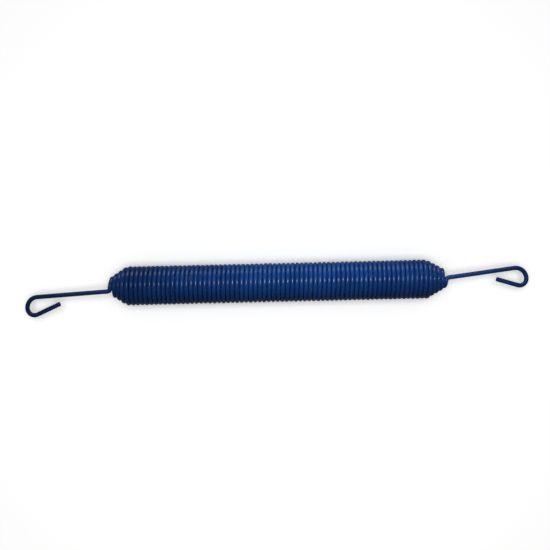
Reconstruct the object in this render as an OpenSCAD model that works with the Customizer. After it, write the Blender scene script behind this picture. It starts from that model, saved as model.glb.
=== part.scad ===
// Close-wound extension spring with tapered ends and a long open hook at each end.
//
// The whole spring is one wire.  It is modelled as named lengths of that wire, cut square where
// they meet, so that each pair of turns can move along the axis as the spring stretches.
//
// Frame: the origin is the centre of the anchor hook's tighter bend.  +X runs along the coil's
// axis from the anchor hook to the pull hook, both hooks open towards -Y, and +Z is square to
// them.

/* [Wire] */
// Diameter of the wire with its paint
wire_d = 2.0; // [1.8:0.05:2.04]

/* [Coil] */
// Outside diameter of the full-size turns
coil_od = 17.8; // [16:0.1:20]
// Distance from one turn to the next in the close-wound coil
pitch = 2.05; // [2.05:0.01:2.2]
// Turns in each length of coil that moves as one
turns_per_length = 2; // [1:1:3]
// Lengths of coil between the two end turns
coil_lengths = 36; // [10:1:50]
// Turns over which the anchor end tapers
anchor_taper_turns = 3.25; // [3:0.25:8]
// Turns over which the pull end tapers
pull_taper_turns = 4; // [3:0.25:8]
// Radius to the wire's centre where the anchor end's taper stops
anchor_end_r = 3.6; // [3.4:0.1:4]
// Radius to the wire's centre where the pull end's taper stops
pull_end_r = 3.4; // [3.2:0.1:4]

/* [Anchor hook] */
// Radius of the turn that takes the wire out of the coil
anchor_exit_r = 3.7; // [3.4:0.05:4.2]
// Angle of that turn
anchor_exit_turn = 108; // [90:1:112]
// Radius of the bend from the coil into the leg
anchor_leg_bend_r = 1.25; // [1.2:0.05:3]
// Length of the straight leg
anchor_leg_len = 33.2; // [20:0.1:45]
// Angle between the leg and the coil's axis
anchor_leg_lean = 3.2; // [0:0.1:10]
// Radius to the wire's centre of the bend from the leg round to the hook's far end
anchor_hook_r = 4.8; // [3.5:0.05:6]
// Angle of that bend
anchor_hook_turn = 93; // [70:0.5:100]
// Radius to the wire's centre of the tighter bend from there round to the tip
anchor_close_r = 3.3; // [2.5:0.05:6]
// Angle of that bend
anchor_close_turn = 107.5; // [70:0.5:108]
// Length of the straight tip
anchor_tip_len = 11.7; // [4:0.1:12]

/* [Pull hook] */
// Radius of the turn that takes the wire out of the coil
pull_exit_r = 2.65; // [2.2:0.05:3]
// Angle of that turn
pull_exit_turn = 95; // [90:1:100]
// Radius of the bend from the coil into the leg
pull_leg_bend_r = 1.2; // [1.2:0.05:3]
// Length of the straight leg
pull_leg_len = 31.0; // [20:0.1:45]
// Angle between the leg and the coil's axis
pull_leg_lean = 6.7; // [0:0.1:10]
// Radius to the wire's centre of the bend from the leg round to the hook's far end
pull_hook_r = 5.0; // [3.5:0.05:6]
// Angle of that bend
pull_hook_turn = 93; // [70:0.5:100]
// Radius to the wire's centre of the tighter bend from there round to the tip
pull_close_r = 3.15; // [2.5:0.05:6]
// Angle of that bend
pull_close_turn = 110.5; // [70:0.5:111]
// Length of the straight tip
pull_tip_len = 10.4; // [4:0.1:11]

/* [Hidden] */
$fn = 64;
paint = "#17356f";
// Two arcs of different radius meet without a corner.  A ball that stands this far proud of the
// wire joins them, and the second arc starts this many degrees late, inside the ball.
joint_proud = 0.01;
joint_trim = 0.2;
up = [0, 0, 1];
coil_r = (coil_od - wire_d) / 2;

// The wire crosses the plane z = 0 once each half turn, on alternate sides of the axis.
// Crossing 0 is at the anchor end, on the +Y side, and the last one is on the -Y side.
anchor_end_halves = 3;
halves_per_length = 2 * turns_per_length;
last_crossing = anchor_end_halves + coil_lengths * halves_per_length;
anchor_taper_step = (coil_r - anchor_end_r) / (2 * anchor_taper_turns);
pull_taper_step = (coil_r - pull_end_r) / (2 * pull_taper_turns);

function unit(v) = v / norm(v);

// Part of v that is square to the unit vector d, brought to unit length.
function square_to(v, d) = unit(v - (v * d) * d);

// Radius to the wire's centre at a crossing.
function radius_at(k) = min(
    coil_r,
    anchor_end_r + k * anchor_taper_step,
    pull_end_r + (last_crossing - k) * pull_taper_step
);

function side_of(k) = k % 2 == 0 ? 1 : -1;
function coil_crossing(k) = [k * pitch / 2, side_of(k) * radius_at(k), 0];

// Direction in the plane z = 0 in which the near side of a turn climbs past the axis.
function crossing_direction(k) = unit([pitch / 2, radius_at(k) + radius_at(k + 1), 0]);

// A place on the wire is [point, direction].  An arc is [place, side, radius, angle]: it starts
// at the place and turns towards the unit vector side.
function arc_end(place, side, r, angle) = [
    place[0] + r * ((1 - cos(angle)) * side + sin(angle) * place[1]),
    cos(angle) * place[1] + sin(angle) * side
];
function line_end(place, len) = [place[0] + len * place[1], place[1]];

// Direction of a leg, away from the coil.  It leans in the hooks' plane and sinks by fall over
// its length, which brings the hook level with the coil's axis.
function leg_direction(end, lean, fall, len) = let (sink = asin(fall / len)) [
    end * cos(lean) * cos(sink),
    end * sin(lean) * cos(sink),
    -sin(sink)
];

// The side that a hook's first bend turns towards, and the one that its tighter bend does.
function hook_side(hook) = square_to([0, -1, 0], hook[1]);
function close_side(hook, close) = cross(cross(hook[1], hook_side(hook)), close[1]);

// Places along one end of the wire, outwards from the coil: the start of the exit turn, of the
// leg's bend, of the leg, of the hook's two bends and of the tip.
function end_places(
    end, k, way, exit_r, exit_turn, bend_r, lean, leg_len, hook_r, hook_turn, close_r, close_turn
) =
    let (
        out = end * way,
        start = [coil_crossing(k), up],
        exit = arc_end(start, out, exit_r, exit_turn),
        leg_way = leg_direction(end, lean, exit_r * sin(exit_turn) + bend_r * cos(exit_turn), leg_len),
        bend_side = square_to(leg_way, exit[1]),
        bend_turn = acos(leg_way * exit[1]),
        leg = arc_end(exit, bend_side, bend_r, bend_turn),
        hook = line_end(leg, leg_len),
        close = arc_end(hook, hook_side(hook), hook_r, hook_turn),
        tip = arc_end(close, close_side(hook, close), close_r, close_turn)
    )
    [start, exit, leg, hook, close, tip];

anchor_way = crossing_direction(0);
anchor_places = end_places(
    -1, 0, anchor_way, anchor_exit_r, anchor_exit_turn, anchor_leg_bend_r, anchor_leg_lean,
    anchor_leg_len, anchor_hook_r, anchor_hook_turn, anchor_close_r, anchor_close_turn
);
pull_way = crossing_direction(last_crossing - 1);
pull_places = end_places(
    1, last_crossing, pull_way, pull_exit_r, pull_exit_turn, pull_leg_bend_r, pull_leg_lean,
    pull_leg_len, pull_hook_r, pull_hook_turn, pull_close_r, pull_close_turn
);

// Centre of a hook's tighter bend, before the part is moved to its own origin.
function eye(places, close_r) =
    places[4][0] + close_r * close_side(places[3], places[4]);
origin = eye(anchor_places, anchor_close_r);

echo(anchor_eye = [0, 0, 0], hook_normal = cross(anchor_places[4][1], anchor_places[5][1]));
echo(pull_eye = eye(pull_places, pull_close_r) - origin);
echo(origin_at = origin);

// Solid of an arc of wire.  The bend is turned about the local Z axis and then laid into place.
// Its first trim degrees are left out.
module wire_arc(place, side, r, angle, trim = 0) {
    start = place[0];
    way = place[1];
    centre = start + r * side;
    axis = cross(-side, way);
    multmatrix([
        [-side.x, way.x, axis.x, centre.x],
        [-side.y, way.y, axis.y, centre.y],
        [-side.z, way.z, axis.z, centre.z],
        [0, 0, 0, 1]
    ])
        rotate_extrude(start = trim, angle = angle - trim)
            translate([r, 0])
                circle(d = wire_d);
}

// Solid of a straight length of wire.
module wire_line(place, len) {
    way = place[1];
    translate(place[0])
        rotate([0, acos(way.z), atan2(way.y, way.x)])
            cylinder(d = wire_d, h = len);
}

// Half a turn of coil, from crossing k round to the next one.
module half_turn(k, trim = 0) {
    from = coil_crossing(k);
    across = coil_crossing(k + 1) - from;
    wire_arc([from, -side_of(k) * up], unit(across), norm(across) / 2, 180, trim);
}

module joint_ball(centre) {
    translate(centre)
        sphere(d = wire_d + 2 * joint_proud);
}

// Everything is worked out from crossing 0, then moved so that the anchor hook is at the origin.
module in_place() {
    color(paint)
        translate(-origin)
            children();
}

// Half turns of coil from crossing first up to crossing last, joined into one solid.
module half_turns(first, last) {
    half_turn(first);
    for (k = [first + 1 : last - 1]) {
        half_turn(k, joint_trim);
        joint_ball(coil_crossing(k));
    }
}

// Length number i of the coil, counted from the anchor end.
module coil_length(i) {
    first = anchor_end_halves + (i - 1) * halves_per_length;
    in_place()
        half_turns(first, first + halves_per_length);
}

// The bend between the exit turn and the leg.
module leg_bend(places, bend_r) {
    exit = places[1];
    leg_way = places[2][1];
    in_place()
        wire_arc(exit, square_to(leg_way, exit[1]), bend_r, acos(leg_way * exit[1]));
}

// A hook's two bends, the tighter one nearer the tip.
module hook_bends(places, hook_r, hook_turn, close_r, close_turn) {
    in_place() {
        wire_arc(places[3], hook_side(places[3]), hook_r, hook_turn);
        wire_arc(places[4], close_side(places[3], places[4]), close_r, close_turn, joint_trim);
        joint_ball(places[4][0]);
    }
}

module anchor_end_turn() {
    in_place() {
        half_turns(0, anchor_end_halves);
        wire_arc(anchor_places[0], -anchor_way, anchor_exit_r, anchor_exit_turn, joint_trim);
        joint_ball(coil_crossing(0));
    }
}

module anchor_leg_bend() {
    leg_bend(anchor_places, anchor_leg_bend_r);
}

module anchor_leg() {
    in_place()
        wire_line(anchor_places[2], anchor_leg_len);
}

module anchor_hook() {
    hook_bends(
        anchor_places, anchor_hook_r, anchor_hook_turn, anchor_close_r, anchor_close_turn
    );
}

module anchor_tip() {
    in_place()
        wire_line(anchor_places[5], anchor_tip_len);
}

module pull_end_turn() {
    in_place()
        wire_arc(pull_places[0], pull_way, pull_exit_r, pull_exit_turn);
}

module pull_leg_bend() {
    leg_bend(pull_places, pull_leg_bend_r);
}

module pull_leg() {
    in_place()
        wire_line(pull_places[2], pull_leg_len);
}

module pull_hook() {
    hook_bends(pull_places, pull_hook_r, pull_hook_turn, pull_close_r, pull_close_turn);
}

module pull_tip() {
    in_place()
        wire_line(pull_places[5], pull_tip_len);
}

function two_digits(n) = n < 10 ? str("0", n) : str(n);
function coil_name(i) = str("coil_length_", two_digits(i));

anchor_tip();
anchor_hook();
anchor_leg();
anchor_leg_bend();
anchor_end_turn();
for (i = [1 : coil_lengths])
    coil_length(i);
pull_end_turn();
pull_leg_bend();
pull_leg();
pull_hook();
pull_tip();
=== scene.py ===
import math

import bpy
import numpy as np
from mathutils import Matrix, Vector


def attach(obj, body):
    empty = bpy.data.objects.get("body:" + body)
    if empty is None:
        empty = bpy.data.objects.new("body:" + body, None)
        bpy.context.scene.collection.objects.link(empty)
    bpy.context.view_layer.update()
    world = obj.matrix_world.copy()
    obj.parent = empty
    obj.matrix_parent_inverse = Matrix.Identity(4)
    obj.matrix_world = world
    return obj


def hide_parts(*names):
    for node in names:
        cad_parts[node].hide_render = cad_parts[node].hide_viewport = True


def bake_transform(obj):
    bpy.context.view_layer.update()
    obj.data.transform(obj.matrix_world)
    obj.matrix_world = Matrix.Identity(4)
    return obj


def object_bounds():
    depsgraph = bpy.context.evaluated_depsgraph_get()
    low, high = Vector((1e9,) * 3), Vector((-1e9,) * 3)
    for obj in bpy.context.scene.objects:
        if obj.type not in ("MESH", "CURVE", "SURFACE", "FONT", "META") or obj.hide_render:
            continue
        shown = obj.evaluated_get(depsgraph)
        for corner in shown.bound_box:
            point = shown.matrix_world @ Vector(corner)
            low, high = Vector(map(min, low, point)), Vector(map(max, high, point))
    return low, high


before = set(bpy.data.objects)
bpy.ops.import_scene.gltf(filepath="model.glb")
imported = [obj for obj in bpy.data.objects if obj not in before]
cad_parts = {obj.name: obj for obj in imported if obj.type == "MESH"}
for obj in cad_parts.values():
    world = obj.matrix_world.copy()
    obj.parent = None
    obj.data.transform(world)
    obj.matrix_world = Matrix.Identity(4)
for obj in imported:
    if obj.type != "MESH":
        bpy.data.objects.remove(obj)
cad_low, cad_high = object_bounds()

# ---------------------------------------------------------------------------------------------
# Bench, camera and lamps.  The spring lies on a plain pale bench and is looked at from straight
# above.  A wide spot brings out the paint's colour, a small spot and a long soft box shine in its
# gloss, and a soft box above lights the bench and gives the spring its soft shadow.
# ---------------------------------------------------------------------------------------------
MM = 0.001
COIL_AXIS_Y = 8.94 * MM
CAMERA_HEIGHT = 338 * MM
CAMERA_BEYOND_AXIS = 3.52 * MM
CAMERA_TOWARDS_ANCHOR = 0.7 * MM
CAMERA_ROLL = math.radians(-1.35)
SENSOR_WIDTH = 36
VIEW_WIDTH = 250.4 * MM
BENCH_SIZE = 6.0
BENCH_PAPER = (1.87, 1.87, 1.87, 1)
BENCH_BOUNCE = (0.4, 0.4, 0.4, 1)
ROOM_LIGHT = 0.23

middle_x = (cad_low.x + cad_high.x) / 2

spring = bpy.data.collections.new("spring")
bpy.context.scene.collection.children.link(spring)
bench_top = bpy.data.collections.new("bench_top")
bpy.context.scene.collection.children.link(bench_top)


def aim_lamp(data, from_vertical, distance, along, seen_in_gloss, lit=spring):
    """Hangs a lamp distance metres from the coil's axis, leaning from_vertical degrees towards
    +Y and along metres from the coil's middle.  It lights one collection alone, and either shines
    in gloss or brings out colour."""
    lamp = bpy.data.objects.new(data.name, data)
    bpy.context.scene.collection.objects.link(lamp)
    lean = math.radians(from_vertical)
    lamp.location = (
        middle_x + along,
        COIL_AXIS_Y + distance * math.sin(lean),
        distance * math.cos(lean),
    )
    lamp.rotation_euler = (-lean, 0, 0)
    lamp.visible_glossy = seen_in_gloss
    lamp.visible_diffuse = not seen_in_gloss
    lamp.light_linking.receiver_collection = lit


def box_lamp(name, size, power):
    """A soft box of the given width and height in metres, and power in watts."""
    data = bpy.data.lights.new(name, "AREA")
    data.shape = "RECTANGLE"
    data.size, data.size_y = size
    data.energy = power
    return data


def spot_lamp(name, radius, cone, power):
    """A spot whose light fades evenly from its middle to the edge of its cone in degrees."""
    data = bpy.data.lights.new(name, "SPOT")
    data.shadow_soft_size = radius
    data.spot_size = math.radians(cone)
    data.spot_blend = 1.0
    data.energy = power
    return data


camera_data = bpy.data.cameras.new("camera")
camera_data.sensor_width = SENSOR_WIDTH
camera_data.lens = SENSOR_WIDTH * CAMERA_HEIGHT / VIEW_WIDTH
camera_data.clip_start = 0.01
camera = bpy.data.objects.new("camera", camera_data)
bpy.context.scene.collection.objects.link(camera)
camera.location = (
    middle_x - CAMERA_TOWARDS_ANCHOR,
    COIL_AXIS_Y + CAMERA_BEYOND_AXIS,
    CAMERA_HEIGHT,
)
camera.rotation_euler = (0, 0, CAMERA_ROLL)
bpy.context.scene.camera = camera

aim_lamp(
    spot_lamp("main_spot", radius=0.08, cone=19, power=22),
    from_vertical=35, distance=0.5, along=0.018, seen_in_gloss=False,
)
aim_lamp(
    spot_lamp("overhead_spot", radius=0.045, cone=24, power=14),
    from_vertical=7.5, distance=0.5, along=0.010, seen_in_gloss=True,
)
aim_lamp(
    box_lamp("far_strip", size=(0.6, 0.25), power=3.0),
    from_vertical=76, distance=0.6, along=0.020, seen_in_gloss=True,
)
aim_lamp(
    box_lamp("bench_lamp", size=(0.3, 0.3), power=1.0),
    from_vertical=0, distance=0.5, along=0, seen_in_gloss=False, lit=bench_top,
)

world = bpy.data.worlds.new("studio")
world.use_nodes = True
room = world.node_tree.nodes["Background"]
room.inputs["Color"].default_value = (1, 1, 1, 1)
room.inputs["Strength"].default_value = ROOM_LIGHT
bpy.context.scene.world = world
bpy.context.scene.view_settings.view_transform = "Standard"

bench_mesh = bpy.data.meshes.new("bench")
half = BENCH_SIZE / 2
bench_corners = [(-half, -half), (half, -half), (half, half), (-half, half)]
bench_mesh.from_pydata([(x, y, cad_low.z) for x, y in bench_corners], [], [(0, 1, 2, 3)])
bench = bpy.data.objects.new("bench", bench_mesh)
bench_top.objects.link(bench)
bench_paper = bpy.data.materials.new("bench_paper")
bench_paper.use_nodes = True
# The paper looks white, but throws back only some of its light, so the paint stays deep.
paper_shader = bench_paper.node_tree.nodes["Principled BSDF"]
paper_seen = bench_paper.node_tree.nodes.new("ShaderNodeMix")
paper_seen.data_type = "RGBA"
paper_seen.inputs[6].default_value = BENCH_BOUNCE
paper_seen.inputs[7].default_value = BENCH_PAPER
light_path = bench_paper.node_tree.nodes.new("ShaderNodeLightPath")
bench_paper.node_tree.links.new(light_path.outputs["Is Camera Ray"], paper_seen.inputs[0])
bench_paper.node_tree.links.new(paper_seen.outputs[2], paper_shader.inputs["Base Color"])
paper_shader.inputs["Specular IOR Level"].default_value = 0
paper_shader.inputs["Roughness"].default_value = 1
bench.data.materials.append(bench_paper)

# ---------------------------------------------------------------------------------------------
# Paint.  The whole spring was dipped in blue enamel after winding.  It is glossy, a little
# uneven in thickness, and the grooves between the turns are darkened by painted shade.
# ---------------------------------------------------------------------------------------------
PAINT_BLUE = (0.003, 0.032, 0.150, 1)
PAINT_THIN = (0.005, 0.042, 0.190, 1)
# Painted shade: the colour laid on the sides of the wire that face the next turns.
PAINTED_GROOVE_SHADE = (0.003, 0.008, 0.045, 1)
PAINT_ROUGHNESS = (0.20, 0.32)
PAINT_IOR = 1.45
PAINT_SPECULAR = 0.2
SPECK_BROWN = (0.09, 0.05, 0.03, 1)
SPECK_COVER = 0.75
SPECK_DULLNESS = 0.3
SCUFF_BLUE = (0.05, 0.10, 0.28, 1)
SCUFF_SCALE = 700
SCUFF_DULLNESS = 0.25
SKIN_STRENGTH = 0.12
SKIN_DEPTH = 0.04 * MM
CLOUD_SHARE = 0.55
SAG_HEIGHT = 1.6


class Shading:
    """Short ways to add and join nodes in one node tree."""

    def __init__(self, tree):
        self.tree = tree

    def node(self, kind, inputs=None, **settings):
        made = self.tree.nodes.new(kind)
        for name, value in settings.items():
            setattr(made, name, value)
        for name, value in (inputs or {}).items():
            if isinstance(value, bpy.types.NodeSocket):
                self.tree.links.new(value, made.inputs[name])
            else:
                made.inputs[name].default_value = value
        return made

    def maths(self, operation, *values):
        return self.node(
            "ShaderNodeMath", dict(enumerate(values)), operation=operation
        ).outputs[0]

    def ramp(self, value, low, high):
        """0 below low, 1 above high, and eased between them."""
        made = self.node(
            "ShaderNodeMapRange",
            {"Value": value, "From Min": low, "From Max": high},
            interpolation_type="SMOOTHSTEP",
        )
        return made.outputs["Result"]

    def noise(self, where, scale, detail, roughness=0.5):
        made = self.node(
            "ShaderNodeTexNoise",
            {"Vector": where, "Scale": scale, "Detail": detail, "Roughness": roughness},
        )
        return made.outputs["Fac"]

    def mix(self, share, first, second):
        made = self.node("ShaderNodeMix", data_type="RGBA")
        factor, a, b = made.inputs[0], made.inputs[6], made.inputs[7]
        for socket, value in ((factor, share), (a, first), (b, second)):
            if isinstance(value, bpy.types.NodeSocket):
                self.tree.links.new(value, socket)
            else:
                socket.default_value = value
        return made.outputs[2]


def new_group(name, inputs, outputs):
    """A shader node group with float inputs and outputs, and its way to add nodes."""
    tree = bpy.data.node_groups.new(name, "ShaderNodeTree")
    for title, value in inputs.items():
        socket = tree.interface.new_socket(title, in_out="INPUT", socket_type="NodeSocketFloat")
        socket.default_value = value
    for title in outputs:
        tree.interface.new_socket(title, in_out="OUTPUT", socket_type="NodeSocketFloat")
    shading = Shading(tree)
    return shading, shading.node("NodeGroupInput").outputs, shading.node("NodeGroupOutput").inputs


def thickness_group():
    """Mask of how thick the paint lies: broad clouds along the spring and finer mottling."""
    add, given, put = new_group("paint_thickness", {"Cloud": 90, "Mottle": 900}, ["Thickness"])
    where = add.node("ShaderNodeTexCoord").outputs["Object"]
    clouds = add.noise(where, given["Cloud"], 2.0)
    mottle = add.noise(where, given["Mottle"], 4.0, 0.6)
    clouds = add.maths("MULTIPLY", clouds, CLOUD_SHARE)
    both = add.maths("MULTIPLY_ADD", mottle, 1 - CLOUD_SHARE, clouds)
    add.tree.links.new(add.ramp(both, 0.36, 0.64), put["Thickness"])
    return add.tree


def peel_group():
    """Height of the dried paint's skin: rounded orange peel, with sags drawn out along the wire."""
    add, given, put = new_group("paint_skin", {"Peel": 1500, "Sag": 260}, ["Height"])
    where = add.node("ShaderNodeTexCoord").outputs["Object"]
    peel = add.node(
        "ShaderNodeTexVoronoi",
        {"Vector": where, "Scale": given["Peel"], "Smoothness": 1.0},
        feature="SMOOTH_F1",
    ).outputs["Distance"]
    sag = add.noise(where, given["Sag"], 2.0)
    add.tree.links.new(add.maths("MULTIPLY_ADD", sag, SAG_HEIGHT, peel), put["Height"])
    return add.tree


def groove_group():
    """Mask of the two sides of the wire that face the turns next to it, where painted shade is
    laid: the UV map's v runs once round from the outside of the coil, so they are where its sine is
    far from 0."""
    add, given, put = new_group("groove_sides", {"Start": 0.72, "Full": 1.0}, ["Groove"])
    uv = add.node("ShaderNodeUVMap", uv_map="wire").outputs["UV"]
    v = add.node("ShaderNodeSeparateXYZ", {"Vector": uv}).outputs["Y"]
    sine = add.maths("ABSOLUTE", add.maths("SINE", add.maths("MULTIPLY", v, 2 * math.pi)))
    add.tree.links.new(add.ramp(sine, given["Start"], given["Full"]), put["Groove"])
    return add.tree


def speck_group():
    """Mask of a few small specks of grit and rust dust caught in the paint."""
    add, given, put = new_group("grit_specks", {"Scale": 420, "Amount": 0.05}, ["Speck"])
    where = add.node("ShaderNodeTexCoord").outputs["Object"]
    cells = add.node("ShaderNodeTexVoronoi", {"Vector": where, "Scale": given["Scale"]})
    lot = add.node("ShaderNodeSeparateColor", {"Color": cells.outputs["Color"]}).outputs["Red"]
    chosen = add.maths("LESS_THAN", lot, given["Amount"])
    close = add.maths("SUBTRACT", 1.0, add.ramp(cells.outputs["Distance"], 0.12, 0.3))
    add.tree.links.new(add.maths("MULTIPLY", chosen, close), put["Speck"])
    return add.tree


paint_thickness = thickness_group()
paint_skin = peel_group()
groove_sides = groove_group()
grit_specks = speck_group()


def place_group(add, group, **values):
    """Puts a group in a material with its own values, and gives its one output."""
    made = add.node("ShaderNodeGroup", node_tree=group)
    for name, value in values.items():
        made.inputs[name].default_value = value
    return made.outputs[0]


def blue_enamel(name, groove_shade_strength, speck_amount, duller=0.0, rubbed=0.0):
    """Blue enamel: thin and paler or thick and deeper by the clouds, with painted shade in the
    grooves, with brown specks, duller by a step of roughness, and scuffed pale where rubbed is
    above 0."""
    material = bpy.data.materials.new(name)
    material.use_nodes = True
    add = Shading(material.node_tree)
    shader = material.node_tree.nodes["Principled BSDF"]
    thickness = place_group(add, paint_thickness)
    groove_shade = add.maths("MULTIPLY", place_group(add, groove_sides), groove_shade_strength)
    speck = place_group(add, grit_specks, Amount=speck_amount)
    colour = add.mix(thickness, PAINT_BLUE, PAINT_THIN)
    # Painted shade: the sides of the wire facing the next turns are darkened towards deep navy.
    colour = add.mix(groove_shade, colour, PAINTED_GROOVE_SHADE)
    colour = add.mix(add.maths("MULTIPLY", speck, SPECK_COVER), colour, SPECK_BROWN)
    roughness = add.maths(
        "MULTIPLY_ADD", thickness, PAINT_ROUGHNESS[1] - PAINT_ROUGHNESS[0],
        PAINT_ROUGHNESS[0] + duller,
    )
    if rubbed:
        where = add.node("ShaderNodeTexCoord").outputs["Object"]
        scuffs = add.ramp(add.noise(where, SCUFF_SCALE, 6.0, 0.7), 0.58, 0.72)
        scuffs = add.maths("MULTIPLY", scuffs, rubbed)
        colour = add.mix(scuffs, colour, SCUFF_BLUE)
        roughness = add.maths("MULTIPLY_ADD", scuffs, SCUFF_DULLNESS, roughness)
    roughness = add.maths("MULTIPLY_ADD", speck, SPECK_DULLNESS, roughness)
    skin = place_group(add, paint_skin)
    bump = add.node(
        "ShaderNodeBump", {"Height": skin, "Strength": SKIN_STRENGTH, "Distance": SKIN_DEPTH}
    )
    links = material.node_tree.links
    links.new(colour, shader.inputs["Base Color"])
    links.new(roughness, shader.inputs["Roughness"])
    links.new(bump.outputs["Normal"], shader.inputs["Normal"])
    shader.inputs["IOR"].default_value = PAINT_IOR
    shader.inputs["Specular IOR Level"].default_value = PAINT_SPECULAR
    return material


coil_enamel = blue_enamel("coil_enamel", groove_shade_strength=0.3, speck_amount=0.03)
leg_enamel = blue_enamel("leg_enamel", groove_shade_strength=0.0, speck_amount=0.01, duller=0.22)
hook_enamel = blue_enamel(
    "hook_enamel", groove_shade_strength=0.0, speck_amount=0.02, duller=0.16, rubbed=0.6
)

# ---------------------------------------------------------------------------------------------
# Coil.  Round spring steel wire, 2 mm thick with its paint, wound left-handed with each turn
# touching the next.  The last turns at both ends are wound smaller, down to under half size.
# ---------------------------------------------------------------------------------------------
PITCH = 2.05 * MM
COIL_R = 7.9 * MM
ANCHOR_END_R = 3.6 * MM
PULL_END_R = 3.4 * MM
ANCHOR_TAPER_HALVES = 6.5
PULL_TAPER_HALVES = 8
ANCHOR_END_HALVES = 3
HALVES_PER_LENGTH = 4
STEPS_PER_HALF = 180
WINDING_SEED = 11
WINDING_ERROR = 0.05 * MM

coil_names = sorted(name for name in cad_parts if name.startswith("coil_length"))
LAST_CROSSING = ANCHOR_END_HALVES + HALVES_PER_LENGTH * len(coil_names)


def unit(v):
    """v brought to length 1 along its last axis."""
    return v / np.linalg.norm(v, axis=-1, keepdims=True)


def square_to(v, way):
    """Part of v that is square to the unit vector way, brought to length 1."""
    return unit(v - np.sum(v * way, axis=-1, keepdims=True) * way)


def coil_radius(half_turns):
    """Radius to the wire's middle: full size, or less in straight proportion near either end."""
    from_anchor = ANCHOR_END_R + half_turns * (COIL_R - ANCHOR_END_R) / ANCHOR_TAPER_HALVES
    left = LAST_CROSSING - half_turns
    from_pull = PULL_END_R + left * (COIL_R - PULL_END_R) / PULL_TAPER_HALVES
    return np.minimum(COIL_R, np.minimum(from_anchor, from_pull))


def coil_line(half_turns, radius):
    """Left-handed helix: x grows by half a pitch and the angle by half a circle per half turn."""
    angle = np.pi * half_turns
    return np.stack(
        [half_turns * PITCH / 2, radius * np.cos(angle), -radius * np.sin(angle)], axis=-1
    )


def crossing_way(crossing):
    """Way across the coil from one crossing to the next, in the plane of the axis: along by half
    a pitch and across by the radii at both."""
    across = coil_radius(crossing) + coil_radius(crossing + 1)
    return unit(np.array([PITCH / 2, across, 0.0]))


half_turns = np.linspace(0, LAST_CROSSING, LAST_CROSSING * STEPS_PER_HALF + 1)
winding_error = np.random.default_rng(WINDING_SEED).uniform(-1, 1, LAST_CROSSING + 1)
winding_error[[0, -1]] = 0
coil_r = coil_radius(half_turns)
coil_points = coil_line(
    half_turns,
    coil_r + WINDING_ERROR * np.interp(half_turns, np.arange(LAST_CROSSING + 1), winding_error),
)
stretch_share = np.cumsum(coil_r ** 3)
stretch_share = (stretch_share - stretch_share[0]) / (stretch_share[-1] - stretch_share[0])

# ---------------------------------------------------------------------------------------------
# Ends.  At each end the wire comes over the top of the coil, bends sharply into a straight leg
# and closes into an open hook of two bends, a wide one and a tight one, with a straight tip.
# ---------------------------------------------------------------------------------------------
UP = np.array([0.0, 0.0, 1.0])
NEAR_SIDE = np.array([0.0, -1.0, 0.0])
BEND_STEPS = 60
LINE_STEP = 0.2 * MM


def arc_line(place, way, side, radius, degrees):
    """Arc that starts at place along way and turns towards side, with its last way and side:
    place + radius ((1 - cos turn) side + sin turn way)."""
    turn = np.radians(np.linspace(0, degrees, BEND_STEPS + 1))[:, None]
    points = place + radius * ((1 - np.cos(turn)) * side + np.sin(turn) * way)
    cosine, sine = np.cos(turn[-1]), np.sin(turn[-1])
    return points, cosine * way + sine * side, cosine * side - sine * way


def straight_line(place, way, length):
    """Points an even step apart from place along way."""
    steps = int(round(length / LINE_STEP))
    return place + np.linspace(0, length, steps + 1)[:, None] * way


def end_lines(end, start, climb, exit_turn, bend_r, lean, leg_len, wide, tight, tip_len):
    """Middle lines of one end outwards from the coil: exit turn, leg bend, leg, hook and tip.
    The leg leans by lean degrees and sinks over its length to about the level of the coil's
    axis.  Also the centre of the hook's tighter bend.  Bends are given as (radius, degrees)."""
    exit_points, way, _ = arc_line(start, UP, end * climb, *exit_turn)
    exit_r, past_top = exit_turn[0], math.radians(exit_turn[1])
    sink = math.asin((exit_r * math.sin(past_top) + bend_r * math.cos(past_top)) / leg_len)
    slant = math.radians(lean)
    level = end * np.array([math.cos(slant), math.sin(slant), 0.0])
    leg_way = math.cos(sink) * level - math.sin(sink) * UP
    bend_turn = math.degrees(math.acos(leg_way @ way))
    bend_points, _, _ = arc_line(exit_points[-1], way, square_to(leg_way, way), bend_r, bend_turn)
    leg_points = straight_line(bend_points[-1], leg_way, leg_len)
    wide_points, way, side = arc_line(
        leg_points[-1], leg_way, square_to(NEAR_SIDE, leg_way), *wide
    )
    eye = wide_points[-1] + tight[0] * side
    tight_points, way, _ = arc_line(wide_points[-1], way, side, *tight)
    hook_points = np.vstack([wide_points[:-1], tight_points])
    tip_points = straight_line(tight_points[-1], way, tip_len)
    return [exit_points, bend_points, leg_points, hook_points, tip_points], eye


anchor_lines, anchor_eye = end_lines(
    end=-1, start=coil_points[0], climb=crossing_way(0),
    exit_turn=(3.7 * MM, 108), bend_r=1.25 * MM, lean=3.2, leg_len=33.2 * MM,
    wide=(4.8 * MM, 93), tight=(3.3 * MM, 107.5), tip_len=11.7 * MM,
)
pull_lines, _ = end_lines(
    end=1, start=coil_points[-1], climb=crossing_way(LAST_CROSSING - 1),
    exit_turn=(2.65 * MM, 95), bend_r=1.2 * MM, lean=6.7, leg_len=31.0 * MM,
    wide=(5.0 * MM, 93), tight=(3.15 * MM, 110.5), tip_len=10.4 * MM,
)

# ---------------------------------------------------------------------------------------------
# Wire.  All of it is one middle line from one cut tip to the other, with the corners between
# its bends eased as a coiling machine leaves them.  It is cut into the part's named lengths.
# ---------------------------------------------------------------------------------------------
WIRE_R = 1.02 * MM
RING_STEP = 0.4 * MM
RING_POINTS = 32
EASING = 0.4 * MM
EASING_REACH = 4
CUT_ROUND = 0.18 * MM
CUT_STEPS = 5


def reversed_lines(lines):
    """The same lines walked from the far end."""
    return [points[::-1] for points in lines[::-1]]


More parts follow.
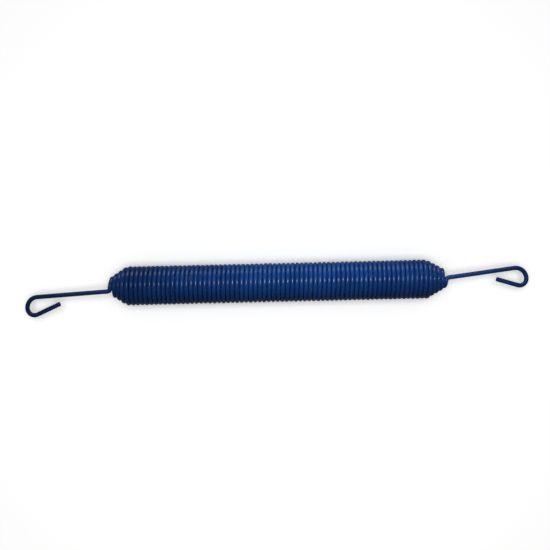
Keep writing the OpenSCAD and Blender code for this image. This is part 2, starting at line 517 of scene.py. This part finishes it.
wire_names = ["anchor_tip", "anchor_hook", "anchor_leg", "anchor_leg_bend", "anchor_exit"]
wire_names += ["coil"]
wire_names += ["pull_exit", "pull_leg_bend", "pull_leg", "pull_hook", "pull_tip"]
wire_lines = reversed_lines(anchor_lines) + [coil_points] + pull_lines
line_ends = np.cumsum([len(points) - 1 for points in wire_lines])
raw_points = np.vstack([wire_lines[0][:1]] + [points[1:] for points in wire_lines]) - anchor_eye
raw_length = np.concatenate(
    [[0], np.cumsum(np.linalg.norm(np.diff(raw_points, axis=0), axis=1))]
)
coil_first = line_ends[wire_names.index("coil") - 1]
raw_share = np.zeros(len(raw_points))
raw_share[coil_first:] = 1
raw_share[coil_first:coil_first + len(coil_points)] = stretch_share

ring_count = int(round(raw_length[-1] / RING_STEP)) + 1
ring_length = np.linspace(0, raw_length[-1], ring_count)
ring_share = np.interp(ring_length, raw_length, raw_share)
ring_centre = np.stack(
    [np.interp(ring_length, raw_length, raw_points[:, i]) for i in range(3)], axis=-1
)
weight = np.exp(-0.5 * (np.arange(-EASING_REACH, EASING_REACH + 1) * RING_STEP / EASING) ** 2)
weight /= weight.sum()
for i in range(3):
    ring_centre[EASING_REACH:-EASING_REACH, i] = np.convolve(
        ring_centre[:, i], weight, mode="valid"
    )

ring_way = unit(np.gradient(ring_centre, axis=0))
axis_place = -anchor_eye
# The rings are numbered from the side away from the coil's axis, and from the top on the legs.
# One changes into the other over each leg's bend.
bend_lines = ["anchor_leg", "anchor_leg_bend", "pull_exit", "pull_leg_bend"]
bend_places = raw_length[line_ends[[wire_names.index(name) for name in bend_lines]]]
round_axis = np.interp(ring_length, bend_places, [0, 1, 1, 0])[:, None]
from_axis = unit((ring_centre - axis_place) * np.array([0.0, 1.0, 1.0]))
ring_out = square_to(round_axis * from_axis + (1 - round_axis) * UP, ring_way)
ring_side = np.cross(ring_way, ring_out)


def ring_at(name, place=1.0):
    """Number of the ring nearest to the end of a named line, or to a share of its length."""
    number = wire_names.index(name)
    first = line_ends[number - 1] if number else 0
    raw = first + place * (line_ends[number] - first)
    return int(round(raw_length[int(round(raw))] / raw_length[-1] * (ring_count - 1)))


def quad_corners(grid):
    """The values of a grid at the four corners of each of its cells, one row a corner."""
    corners = np.stack([grid[:-1, :-1], grid[:-1, 1:], grid[1:, 1:], grid[1:, :-1]], axis=2)
    return corners.reshape(-1, grid.shape[-1])


def wire_piece(name, first, last, material, cut=None):
    """Tube round the rings first to last: centre + radius (cos a out + sin a side), closed by a
    flat face at each end.  The end named by cut, "first" or "last", is a cut tip: its edge is
    rolled over on a quarter circle of radius CUT_ROUND.  The UV map runs along the wire in
    metres and once round it, from where the rings are numbered from."""
    roll = np.radians(np.linspace(0, 90, CUT_STEPS))
    rolled = {"first": slice(0, CUT_STEPS), "last": slice(-CUT_STEPS, None)}
    rings = np.concatenate([
        np.full(CUT_STEPS if cut == "first" else 1, first),
        np.arange(first + 1, last),
        np.full(CUT_STEPS if cut == "last" else 1, last),
    ])
    tilt = np.zeros(len(rings))
    if cut:
        tilt[rolled[cut]] = roll if cut == "last" else -roll[::-1]
    inset = np.zeros(len(rings))
    if cut:
        inset[rolled[cut]] = CUT_ROUND * (np.sin(tilt[rolled[cut]]) - (1 if cut == "last" else -1))
    radius = WIRE_R - CUT_ROUND * (1 - np.cos(tilt))

    way = ring_way[rings][:, None]
    angle = np.linspace(0, 2 * np.pi, RING_POINTS + 1)[None, :, None]
    outward = np.cos(angle) * ring_out[rings][:, None] + np.sin(angle) * ring_side[rings][:, None]
    normal = np.cos(tilt)[:, None, None] * outward + np.sin(tilt)[:, None, None] * way
    points = (
        ring_centre[rings][:, None] + inset[:, None, None] * way
        + radius[:, None, None] * outward
    )
    column = np.arange(RING_POINTS)
    following = (column + 1) % RING_POINTS
    row = (np.arange(len(rings) - 1) * RING_POINTS)[:, None]
    next_row = row + RING_POINTS
    quads = np.stack(
        [row + column, row + following, next_row + following, next_row + column], axis=-1
    ).reshape(-1, 4)
    last_cap = (len(rings) - 1) * RING_POINTS + column
    mesh = bpy.data.meshes.new(name)
    mesh.from_pydata(
        points[:, :-1].reshape(-1, 3), [],
        quads.tolist() + [column[::-1].tolist(), last_cap.tolist()],
    )
    mesh.shade_smooth()
    cap_normals = np.repeat(
        np.stack([-ring_way[first], ring_way[last]]), RING_POINTS, axis=0
    )
    mesh.normals_split_custom_set(np.vstack([quad_corners(normal), cap_normals]))

    along = ring_length[rings] + inset
    around = np.arange(RING_POINTS + 1) / RING_POINTS
    uv = np.stack(np.meshgrid(along, around, indexing="ij"), axis=-1)
    cap_uv = np.stack(
        [np.repeat(along[[0, -1]], RING_POINTS), np.full(2 * RING_POINTS, 0.5)], axis=-1
    )
    uv_map = mesh.uv_layers.new(name="wire")
    uv_map.uv.foreach_set("vector", np.vstack([quad_corners(uv), cap_uv]).ravel())
    piece = bpy.data.objects.new(name, mesh)
    spring.objects.link(piece)
    mesh.materials.append(material)
    return piece


def let_open(piece, share):
    mesh = piece.data
    points = np.empty(len(mesh.vertices) * 3, np.float32)
    mesh.vertices.foreach_get("co", points)
    laid = np.zeros((len(share), RING_POINTS, 3), np.float32)
    laid[:, :, 0] = (0.5 - np.sin(np.arcsin(1 - 2 * share) / 3))[:, None]
    mesh.vertices.foreach_set("co", laid.ravel())
    mesh.update()
    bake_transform(piece)
    mesh.vertices.foreach_set("co", points)
    mesh.update()


# ---------------------------------------------------------------------------------------------
# Coil lengths.  Two turns each, cut square across the wire.
# ---------------------------------------------------------------------------------------------
def ring_at_crossing(crossing):
    """Number of the ring nearest to one of the coil's crossings."""
    return ring_at("coil", crossing / LAST_CROSSING)


for i, node in enumerate(coil_names):
    first = ring_at_crossing(ANCHOR_END_HALVES + i * HALVES_PER_LENGTH)
    last = ring_at_crossing(ANCHOR_END_HALVES + (i + 1) * HALVES_PER_LENGTH)
    coil_piece = wire_piece(node + "_wire", first, last, coil_enamel)
    let_open(coil_piece, ring_share[first:last + 1])
    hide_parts(node)

# ---------------------------------------------------------------------------------------------
# Anchor end.  The first turn and a half of the coil, the bend out of it, the leg, the hook that
# hangs on the fixed peg, and its tip.
# ---------------------------------------------------------------------------------------------
def end_piece(node, first, last, material, body, cut=None):
    """A length of the wire's end that stands for a CAD node and moves with one body."""
    piece = wire_piece(node + "_wire", first, last, material, cut)
    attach(piece, body)
    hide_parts(node)
    return piece


end_piece("anchor_tip", 0, ring_at("anchor_tip"), hook_enamel, "anchor_end", cut="first")
end_piece(
    "anchor_hook", ring_at("anchor_tip"), ring_at("anchor_hook"), hook_enamel, "anchor_end"
)
end_piece(
    "anchor_leg", ring_at("anchor_hook"), ring_at("anchor_leg"), leg_enamel, "anchor_end"
)
end_piece(
    "anchor_leg_bend", ring_at("anchor_leg"), ring_at("anchor_leg_bend"), leg_enamel, "anchor_end"
)
first, last = ring_at("anchor_leg_bend"), ring_at_crossing(ANCHOR_END_HALVES)
anchor_end_turn = wire_piece("anchor_end_turn_wire", first, last, coil_enamel)
let_open(anchor_end_turn, ring_share[first:last + 1])
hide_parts("anchor_end_turn")

# ---------------------------------------------------------------------------------------------
# Pull end.  The exit turn and bend out of the coil, the leg, the hook that the moving lever
# pulls, and its tip.
# ---------------------------------------------------------------------------------------------
end_piece(
    "pull_end_turn", ring_at("coil"), ring_at("pull_exit"), coil_enamel, "pull_end"
)
end_piece(
    "pull_leg_bend", ring_at("pull_exit"), ring_at("pull_leg_bend"), leg_enamel, "pull_end"
)
end_piece(
    "pull_leg", ring_at("pull_leg_bend"), ring_at("pull_leg"), leg_enamel, "pull_end"
)
end_piece(
    "pull_hook", ring_at("pull_leg"), ring_at("pull_hook"), hook_enamel, "pull_end"
)
end_piece(
    "pull_tip", ring_at("pull_hook"), ring_count - 1, hook_enamel, "pull_end", cut="last"
)
